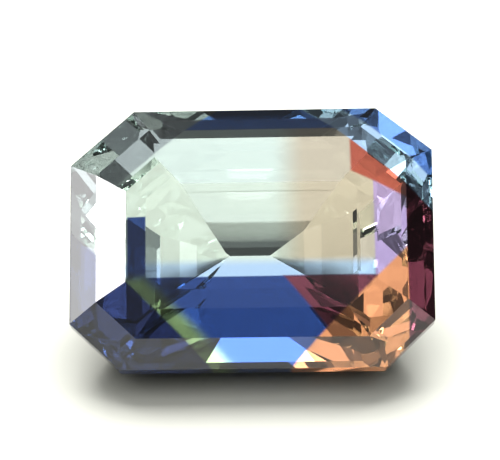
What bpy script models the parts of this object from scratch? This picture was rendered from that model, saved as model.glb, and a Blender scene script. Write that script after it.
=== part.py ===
"""A parti-coloured sapphire, step cut with cut corners, lying on one long facet of its pavilion.

The stone is made the way a cutter makes it. A rough block is ground flat, one facet at a time, until only
the faceted stone is left. It is cut with its table level and facing up, its ends towards -X and +X and its
long sides towards -Y (front) and +Y (back). Then it is laid down as a loose stone lies: on the front facet
of the last pavilion tier, with the table leaning towards the front.
"""
from math import atan2, cos, degrees, radians, sin, tan

import bmesh
import bpy
from mathutils import Matrix, Vector

MM = 0.001

# The girdle's outline: each side's heading, clockwise from the back, and its distance from the axis in mm.
GIRDLE_OUTLINE = {
    "back": (0.2, 3.66),
    "back_right": (39.0, 5.03),
    "right": (91.0, 4.97),
    "front_right": (137.0, 5.12),
    "front": (180.4, 3.66),
    "front_left": (223.5, 5.16),
    "left": (270.2, 5.03),
    "back_left": (319.0, 4.91),
}
LONG_SIDES = ("back", "front")
ENDS = ("left", "right")
GIRDLE_THICKNESS = 0.60

# The crown: three steps up from the girdle to the table. Rises are level all round the stone. Each step's
# width is measured flat, from one step line in to the next.
CROWN_RISES = (0.66, 0.21, 0.06)
CROWN_WIDTHS = {
    "long_side": (0.735, 0.77, 0.52),
    "end": (0.77, 0.82, 0.55),
    "corner": (0.86, 0.93, 0.55),
}

# The pavilion: each side's tiers as a slope and the depth below the girdle where the tier ends at a level
# step line. A last tier has no such depth. The ends and the back corners flatten out towards the keel, so the
# table looks straight through them. The front's last tier is the widest long facet, and the stone lies on it.
PAVILION_TIERS = {
    "back": ((58.0, 1.46), (47.4, 2.38), (42.2, None)),
    "back_right": ((56.0, 1.87), (35.0, None)),
    "right": ((58.0, 1.87), (40.0, 2.70), (31.0, None)),
    "front_right": ((58.0, 1.46), (50.0, None)),
    "front": ((58.0, 1.46), (49.9, 2.11), (42.2, None)),
    "front_left": ((58.0, 1.46), (50.0, None)),
    "left": ((58.0, 1.87), (40.0, 2.90), (31.5, None)),
    "back_left": ((52.0, 1.87), (37.0, None)),
}

# The rough block that the stone is cut from.
ROUGH_SIZE = (12.0, 10.0, 14.0)

RESTING_SIDE = "front"
CUT_TOLERANCE = 1e-6

SAPPHIRE_COLOUR = (0.62, 0.68, 0.80, 1.0)
SAPPHIRE_ROUGHNESS = 0.0
SAPPHIRE_IOR = 1.765


def kind_of(side):
    """Which row of the crown's table a side follows."""
    if side in LONG_SIDES:
        return "long_side"
    if side in ENDS:
        return "end"
    return "corner"


def outward(heading):
    """The level unit vector at a heading in degrees, clockwise from +Y."""
    return Vector((sin(radians(heading)), cos(radians(heading)), 0.0))


def facet_plane(heading, slope, distance, height):
    """A facet's plane as (point, normal). It slopes at so many degrees from level, down and out where the
    slope is positive, and it passes the given distance from the axis at the given height."""
    side = outward(heading)
    point = side * distance + Vector((0.0, 0.0, height))
    tilt = radians(abs(slope))
    up = cos(tilt) if slope > 0 else -cos(tilt)
    return point, side * sin(tilt) + Vector((0.0, 0.0, up))


def crown_planes():
    """The table, then each side's three crown steps, from the girdle's top edge at height 0 upwards."""
    planes = [(Vector((0.0, 0.0, sum(CROWN_RISES))), Vector((0.0, 0.0, 1.0)))]
    for side, (heading, distance) in GIRDLE_OUTLINE.items():
        height = 0.0
        for rise, width in zip(CROWN_RISES, CROWN_WIDTHS[kind_of(side)]):
            planes.append(facet_plane(heading, degrees(atan2(rise, width)), distance, height))
            distance -= width
            height += rise
    return planes


def girdle_planes():
    """The upright facets of the girdle."""
    return [
        (outward(heading) * distance, outward(heading))
        for heading, distance in GIRDLE_OUTLINE.values()
    ]


def pavilion_planes(side):
    """One side's pavilion tiers, from the girdle's bottom edge downwards."""
    heading, distance = GIRDLE_OUTLINE[side]
    planes = []
    depth = 0.0
    for slope, end_depth in PAVILION_TIERS[side]:
        planes.append(facet_plane(heading, -slope, distance, -GIRDLE_THICKNESS - depth))
        if end_depth is not None:
            distance -= (end_depth - depth) / tan(radians(slope))
            depth = end_depth
    return planes


def cut_facet(stone, point, normal):
    """Grind one facet: everything beyond the plane goes, and the cut is closed with one flat face."""
    whole = stone.verts[:] + stone.edges[:] + stone.faces[:]
    cut = bmesh.ops.bisect_plane(
        stone, geom=whole, dist=CUT_TOLERANCE, plane_co=point, plane_no=normal, clear_outer=True
    )
    rim = [edge for edge in cut["geom_cut"] if isinstance(edge, bmesh.types.BMEdge)]
    if rim:
        bmesh.ops.edgeloop_fill(stone, edges=rim)


def lay_down(stone):
    """Turn the stone until the resting facet faces straight down, and stand it on level 0, centred."""
    resting_normal = pavilion_planes(RESTING_SIDE)[-1][1]
    turn = resting_normal.rotation_difference(Vector((0.0, 0.0, -1.0)))
    bmesh.ops.rotate(stone, verts=stone.verts[:], cent=(0.0, 0.0, 0.0), matrix=turn.to_matrix())
    low = Vector(min(vert.co[axis] for vert in stone.verts) for axis in range(3))
    high = Vector(max(vert.co[axis] for vert in stone.verts) for axis in range(3))
    middle = (low + high) / 2
    bmesh.ops.translate(stone, verts=stone.verts[:], vec=(-middle.x, -middle.y, -low.z))


def sapphire_material():
    """Clear sapphire. The colour is the stone's average, between colourless, blue and orange."""
    material = bpy.data.materials.new("parti_coloured_sapphire")
    material.use_nodes = True
    shader = material.node_tree.nodes["Principled BSDF"]
    shader.inputs["Base Color"].default_value = SAPPHIRE_COLOUR
    shader.inputs["Roughness"].default_value = SAPPHIRE_ROUGHNESS
    shader.inputs["Metallic"].default_value = 0.0
    shader.inputs["IOR"].default_value = SAPPHIRE_IOR
    shader.inputs["Transmission Weight"].default_value = 1.0
    return material


def make_sapphire(collection):
    """Cut the stone from the rough block, lay it down, and bring it from millimetres to metres."""
    stone = bmesh.new()
    bmesh.ops.create_cube(stone, size=1.0, matrix=Matrix.Diagonal((*ROUGH_SIZE, 1.0)))
    planes = crown_planes() + girdle_planes()
    for side in GIRDLE_OUTLINE:
        planes += pavilion_planes(side)
    for point, normal in planes:
        cut_facet(stone, point, normal)
    lay_down(stone)
    bmesh.ops.scale(stone, verts=stone.verts[:], vec=(MM, MM, MM))
    mesh = bpy.data.meshes.new("sapphire")
    stone.to_mesh(mesh)
    stone.free()
    mesh.materials.append(sapphire_material())
    sapphire = bpy.data.objects.new("sapphire", mesh)
    collection.objects.link(sapphire)
    return sapphire


def clear_scene():
    for thing in list(bpy.data.objects):
        bpy.data.objects.remove(thing, do_unlink=True)


clear_scene()
parts = bpy.data.collections.new("parti_coloured_sapphire")
bpy.context.scene.collection.children.link(parts)
make_sapphire(parts)
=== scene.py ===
from math import cos, radians, sin

import bpy
import numpy as np
from mathutils import Matrix, Vector

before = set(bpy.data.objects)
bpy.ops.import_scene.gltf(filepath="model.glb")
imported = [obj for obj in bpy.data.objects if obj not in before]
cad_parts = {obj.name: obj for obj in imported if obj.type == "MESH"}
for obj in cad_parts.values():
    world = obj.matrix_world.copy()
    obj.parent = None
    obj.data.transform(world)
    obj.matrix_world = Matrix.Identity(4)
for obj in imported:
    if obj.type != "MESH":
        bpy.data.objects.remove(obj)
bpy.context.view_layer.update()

MM = 0.001


# The stone: one faceted crystal of sapphire, cut and polished, lying loose on a long facet of its pavilion. Its
# colour lies in zones that grew with the crystal and that the facets break up into straight-sided patches. The
# middle and the left are nearly colourless, the front, the back rim and the right rear corner blue, the right
# end orange, maroon and lilac. At the left end, grey, deep navy and near-black patches are painted shade.
REST_TURN = 42.2
CUTTERS_ORIGIN = Vector((0.011, -0.347, 3.486))
REFRACTIVE_INDEX = 1.765
CLEAR = (0.90, 0.95, 0.92)
ABSORPTION = (0.86, 0.93, 0.90, 1.0)
ABSORPTION_DENSITY = 60.0

PALE = (0.72, 0.79, 0.76)
PAINTED_SHADE_GREY = (0.40, 0.43, 0.45)
BEIGE = (0.65, 0.55, 0.45)
PALE_BLUE = (0.50, 0.65, 0.90)
BLUE = (0.12, 0.22, 0.55)
DEEP_BLUE_AND_PAINTED_SHADE = (0.03, 0.07, 0.25)
NAVY_AND_PAINTED_SHADE = (0.02, 0.03, 0.10)
OLIVE = (0.20, 0.28, 0.14)
LILAC = (0.55, 0.40, 0.70)
MAROON = (0.20, 0.05, 0.08)
RED = (0.50, 0.12, 0.08)
ORANGE = (0.85, 0.35, 0.18)

# The zones over the pale body, each over the ones before it, as a name, what it lets through, and how soft its
# edge is in mm. Then come its edges, as a heading, clockwise from the back, and a distance from the axis in mm.
# Most zones are the stone's colour. The grey, deep navy and near-black ones at the left end are painted shade.
# A zone is what lies past all its edges. They are measured in the cutter's frame, which has the table level and
# facing up, and they are chosen one by one.
ZONES = (
    ("right of the table", BEIGE, 1.0, (90, 1.0)),
    ("front of the table", PALE_BLUE, 0.3, (180, 0.9)),
    ("back rim", BLUE, 0.05, (0, 2.9)),
    # Painted shade: a grey that darkens the left rim and the left rear corner, which are nearly colourless.
    ("left rim", PAINTED_SHADE_GREY, 0.05, (270, 4.3)),
    ("left rear corner", PAINTED_SHADE_GREY, 0.05, (320, 3.4)),
    # Painted shade: the left inner step is darkened to deep navy with the same deep blue as the front.
    ("left inner step", DEEP_BLUE_AND_PAINTED_SHADE, 0.05, (270, 2.9), (90, -3.4), (180, -0.4)),
    ("front", DEEP_BLUE_AND_PAINTED_SHADE, 0.05, (180, 1.3)),
    ("left front", OLIVE, 0.4, (180, 1.3), (225, 3.0)),
    # Partly painted shade: a near-black navy that darkens the left front corner beyond the front's blue.
    ("left front corner", NAVY_AND_PAINTED_SHADE, 0.1, (225, 3.4)),
    ("right steps", LILAC, 0.05, (90, 3.3)),
    ("right front", MAROON, 0.1, (180, 1.3), (50, -0.2)),
    ("right front corner", ORANGE, 0.1, (135, 3.3)),
    ("right rear", RED, 0.1, (90, 2.7), (25, 2.6)),
    ("right rim", MAROON, 0.05, (90, 4.2)),
    ("right rear corner", PALE_BLUE, 0.05, (40, 3.7)),
    ("right rear rim", BLUE, 0.1, (40, 4.4)),
)


class Wire:
    """An output socket in a finish. Arithmetic on it adds the Math node that does it."""

    def __init__(self, socket):
        self.socket = socket
        self.tree = socket.id_data

    def math(self, operation, *values, clamp=False):
        settings = {"operation": operation, "use_clamp": clamp}
        return add_node(self.tree, "ShaderNodeMath", settings, dict(enumerate(values)))

    def __add__(self, other):
        return self.math("ADD", self, other)

    def __sub__(self, other):
        return self.math("SUBTRACT", self, other)

    def __rsub__(self, other):
        return self.math("SUBTRACT", other, self)

    def __mul__(self, other):
        return self.math("MULTIPLY", self, other)

    def __truediv__(self, other):
        return self.math("DIVIDE", self, other)

    __radd__ = __add__
    __rmul__ = __mul__

    def rise(self, low, high):
        """0 where the wire is under low, 1 over high, with a smooth step between. It falls if low > high."""
        if low > high:
            return 1 - self.rise(high, low)
        settings = {"interpolation_type": "SMOOTHSTEP", "clamp": True}
        return add_node(self.tree, "ShaderNodeMapRange", settings, {0: self, 1: low, 2: high, 3: 0.0, 4: 1.0})


def add_node(tree, kind, settings, sockets, out=0):
    """A node of any kind: its settings first, then its sockets' values or wires, by name or number."""
    node = tree.nodes.new(kind)
    for name, value in settings.items():
        setattr(node, name, value)
    for key, value in sockets.items():
        if isinstance(value, Wire):
            tree.links.new(value.socket, node.inputs[key])
        else:
            node.inputs[key].default_value = value
    return Wire(node.outputs[out])


def blend_colour(mask, low, high):
    """The colour low where the mask is 0 and high where it is 1. Both are colours or wires."""
    settings = {"data_type": "RGBA", "clamp_factor": True}
    colours = [value if isinstance(value, Wire) else (*value, 1.0) for value in (low, high)]
    return add_node(mask.tree, "ShaderNodeMix", settings, {0: mask, 6: colours[0], 7: colours[1]}, out=2)


def new_finish(name):
    """A material with its Principled shader, as (material, tree, shader)."""
    material = bpy.data.materials.new(name)
    material.use_nodes = True
    tree = material.node_tree
    return material, tree, tree.nodes["Principled BSDF"]


def cutters_frame(tree):
    """The shading point in the cutter's frame, in millimetres: one wire with all of it, then x, y and z."""
    place = add_node(tree, "ShaderNodeTexCoord", {}, {}, out=3)
    turn = Matrix.Rotation(radians(-REST_TURN), 3, "X")
    point = add_node(tree, "ShaderNodeMapping", {"vector_type": "POINT"}, {
        0: place,
        "Location": turn @ -CUTTERS_ORIGIN,
        "Rotation": (radians(-REST_TURN), 0.0, 0.0),
        "Scale": (1 / MM, 1 / MM, 1 / MM),
    })
    split = add_node(tree, "ShaderNodeSeparateXYZ", {}, {0: point})
    return point, [Wire(output) for output in split.socket.node.outputs]


def zone_cover(plan, softness, edges):
    """1 inside a zone and 0 outside it. How far a point lies past an edge is the dot product of (x, y, 1) and
    (sine of its heading, cosine of its heading, minus its distance). The smallest of these decides."""
    past = None
    for heading, distance in edges:
        line = (sin(radians(heading)), cos(radians(heading)), -distance)
        over = add_node(plan.tree, "ShaderNodeVectorMath", {"operation": "DOT_PRODUCT"}, {0: plan, 1: line}, out=1)
        past = over if past is None else past.math("MINIMUM", past, over)
    return past.rise(-softness / 2, softness / 2)


def sapphire_finish():
    """Clear sapphire with zoned colour and painted shade at the left end. Light that crosses the surface takes the
    root of Base Color, so the zones' colours are squared. The inner side is clear, so a line of sight is tinted
    once, where it enters."""
    material, tree, shader = new_finish("sapphire_zones_and_painted_shade")
    point, (x, y, z) = cutters_frame(tree)
    plan = add_node(tree, "ShaderNodeCombineXYZ", {}, {0: x, 1: y, 2: 1.0})
    passed = None
    for _, colour, softness, *edges in ZONES:
        below = PALE if passed is None else passed
        passed = blend_colour(zone_cover(plan, softness, edges), below, colour)
    base = add_node(tree, "ShaderNodeVectorMath", {"operation": "MULTIPLY"}, {0: passed, 1: passed})
    tree.links.new(base.socket, shader.inputs["Base Color"])
    polish = add_node(tree, "ShaderNodeTexNoise", {}, {0: point, "Scale": 1.6, "Detail": 3.0})
    girdle = z.rise(-0.66, -0.60) * z.rise(0.04, -0.02)
    tree.links.new((polish * 0.02 + girdle * 0.16).socket, shader.inputs["Roughness"])
    far_side = tree.nodes.new("ShaderNodeBsdfPrincipled")
    far_side.inputs["Base Color"].default_value = (*CLEAR, 1.0)
    far_side.inputs["Roughness"].default_value = 0.0
    for surface in (shader, far_side):
        surface.inputs["IOR"].default_value = REFRACTIVE_INDEX
        surface.inputs["Transmission Weight"].default_value = 1.0
    side = add_node(tree, "ShaderNodeNewGeometry", {}, {}, out=6)
    both = tree.nodes.new("ShaderNodeMixShader")
    tree.links.new(side.socket, both.inputs[0])
    tree.links.new(shader.outputs[0], both.inputs[1])
    tree.links.new(far_side.outputs[0], both.inputs[2])
    output = tree.nodes["Material Output"]
    tree.links.new(both.outputs[0], output.inputs["Surface"])
    depth = tree.nodes.new("ShaderNodeVolumeAbsorption")
    depth.inputs["Color"].default_value = ABSORPTION
    depth.inputs["Density"].default_value = ABSORPTION_DENSITY
    tree.links.new(depth.outputs["Volume"], output.inputs["Volume"])
    return material


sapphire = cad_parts["sapphire"]
for slot in sapphire.material_slots:
    slot.material = sapphire_finish()


# The table top: a sheet of plain white card under the stone, with a faint tooth and a faint change of tone.
# It is a disc of rings that widen outwards, and it isn't part of the stone. It lies a hair below level 0, for
# the film of air that its tooth leaves under the polished facet.
FLOOR_RADIUS = 0.6
AIR_FILM = 0.02 * MM
FLOOR_WHITE = (0.80, 0.80, 0.73)
FLOOR_SHADE = (0.77, 0.78, 0.70)


def disc(radius, level, rings, sectors):
    """A flat disc as (points, faces). The point at share s and turn t is s squared times the radius away from
    the middle, at the angle t. Share 0 is one point, and the faces round it are triangles."""
    share = np.linspace(0.0, 1.0, rings + 1)[1:, None] ** 2 * radius
    turn = np.linspace(0.0, 2 * np.pi, sectors, endpoint=False)[None, :]
    height = np.full((rings, sectors), level)
    ring_points = np.stack([share * np.cos(turn), share * np.sin(turn), height], axis=-1)
    points = np.vstack([[0.0, 0.0, level], ring_points.reshape(-1, 3)])
    here = np.arange(sectors)
    after = (here + 1) % sectors
    middle = np.stack([np.zeros(sectors, int), 1 + here, 1 + after], axis=-1)
    inner = 1 + np.arange(rings - 1)[:, None] * sectors
    outer = inner + sectors
    bands = np.stack([inner + here, outer + here, outer + after, inner + after], axis=-1).reshape(-1, 4)
    return points, middle.tolist() + bands.tolist()


def card_finish():
    material, tree, shader = new_finish("white_card")
    place = add_node(tree, "ShaderNodeTexCoord", {}, {}, out=3)
    tooth = add_node(tree, "ShaderNodeTexNoise", {}, {0: place, "Scale": 3000.0, "Detail": 3.0})
    tone = add_node(tree, "ShaderNodeTexNoise", {}, {0: place, "Scale": 25.0, "Detail": 2.0})
    card = blend_colour(tone.rise(0.35, 0.65), FLOOR_SHADE, FLOOR_WHITE)
    tree.links.new(card.socket, shader.inputs["Base Color"])
    tree.links.new((tooth * 0.1 + 0.8).socket, shader.inputs["Roughness"])
    bump = add_node(tree, "ShaderNodeBump", {}, {"Height": tooth, "Strength": 0.05, "Distance": 0.02 * MM})
    tree.links.new(bump.socket, shader.inputs["Normal"])
    return material


card_mesh = bpy.data.meshes.new("white_card")
card_points, card_faces = disc(FLOOR_RADIUS, -AIR_FILM, 24, 96)
card_mesh.from_pydata(card_points.tolist(), [], card_faces)
card_mesh.materials.append(card_finish())
card = bpy.data.objects.new("white_card", card_mesh)
bpy.context.scene.collection.objects.link(card)


# The light: a large panel behind and above the stone lights everything. A dim one overhead lights the card and
# shows through the stone, and two more, at the right and the left, only show through it. The last two, at the
# left, only show as mirror images in the left end's step and rim. The sky is faint, and brightest overhead.
LOOK_AT = Vector((0.0, 0.0, 2.6)) * MM


def direction(heading, elevation):
    """The unit vector at a heading, clockwise from the back, and an elevation, both in degrees."""
    level = cos(radians(elevation))
    return Vector((sin(radians(heading)) * level, cos(radians(heading)) * level, sin(radians(elevation))))


def add_panel(name, heading, elevation, distance, width, height, radiance, mirrored, seen_through, on_card):
    """A softbox that faces the stone. Its power is its radiance times pi times its area. It can be kept out of
    what the facets mirror, out of what they refract, and off the card."""
    lamp = bpy.data.lights.new(name, "AREA")
    lamp.shape = "RECTANGLE"
    lamp.size = width
    lamp.size_y = height
    lamp.energy = radiance * np.pi * width * height
    panel = bpy.data.objects.new(name, lamp)
    away = direction(heading, elevation)
    panel.location = LOOK_AT + away * distance
    panel.rotation_euler = away.to_track_quat("Z", "Y").to_euler()
    panel.visible_camera = False
    panel.visible_glossy = mirrored
    panel.visible_transmission = seen_through
    panel.visible_diffuse = on_card
    bpy.context.scene.collection.objects.link(panel)
    return panel


add_panel("back_panel", 0.0, 62.0, 0.40, 0.40, 0.30, 6.4, True, True, True)
add_panel("top_panel", 180.0, 66.0, 0.40, 0.50, 0.33, 0.75, False, True, True)
add_panel("right_panel", 110.0, 45.0, 0.40, 0.20, 0.16, 0.8, False, True, False)
add_panel("small_left_panel", 267.0, 37.0, 0.40, 0.06, 0.12, 2.5, False, True, False)
add_panel("left_panel", 236.0, 49.0, 0.40, 0.08, 0.07, 14.0, True, False, False)
add_panel("low_left_panel", 278.0, 12.0, 0.40, 0.06, 0.06, 4.5, True, False, False)

world = bpy.data.worlds.new("studio")
world.use_nodes = True
bpy.context.scene.world = world
sky = world.node_tree
sky_direction = add_node(sky, "ShaderNodeTexCoord", {}, {})
sky_split = add_node(sky, "ShaderNodeSeparateXYZ", {}, {0: sky_direction})
sky_height = Wire(sky_split.socket.node.outputs[2])
overhead = sky_height.rise(0.3, 0.85)
background = sky.nodes["Background"]
background.inputs["Color"].default_value = (0.97, 0.99, 1.0, 1.0)
sky.links.new((overhead * 0.34 + 0.06).socket, background.inputs["Strength"])


# The camera: close to the stone, behind a long lens, at the photograph's angle.
CAMERA_TURN = 0.25
CAMERA_ELEVATION = 33.8
CAMERA_DISTANCE = 0.055
CAMERA_ROLL = -1.07
CAMERA_LENS = 143.94
AIM_OFFSET = (-0.072, 0.204)

lens = bpy.data.cameras.new("camera")
lens.lens = CAMERA_LENS
lens.sensor_width = 36.0
lens.clip_start = 0.001
lens.clip_end = 10.0
camera = bpy.data.objects.new("camera", lens)
towards_camera = direction(180.0 - CAMERA_TURN, CAMERA_ELEVATION)
view = towards_camera.to_track_quat("Z", "Y").to_matrix()
aim = CUTTERS_ORIGIN * MM + view @ Vector((AIM_OFFSET[0], AIM_OFFSET[1], 0.0)) * MM
roll = Matrix.Rotation(radians(CAMERA_ROLL), 3, "Z")
camera.matrix_world = Matrix.Translation(aim + towards_camera * CAMERA_DISTANCE) @ (view @ roll).to_4x4()
bpy.context.scene.collection.objects.link(camera)
bpy.context.scene.camera = camera

scene = bpy.context.scene
scene.view_settings.view_transform = "Standard"
scene.view_settings.look = "Medium High Contrast"
scene.cycles.caustics_refractive = False
scene.cycles.max_bounces = 32
scene.cycles.glossy_bounces = 28
scene.cycles.transmission_bounces = 28
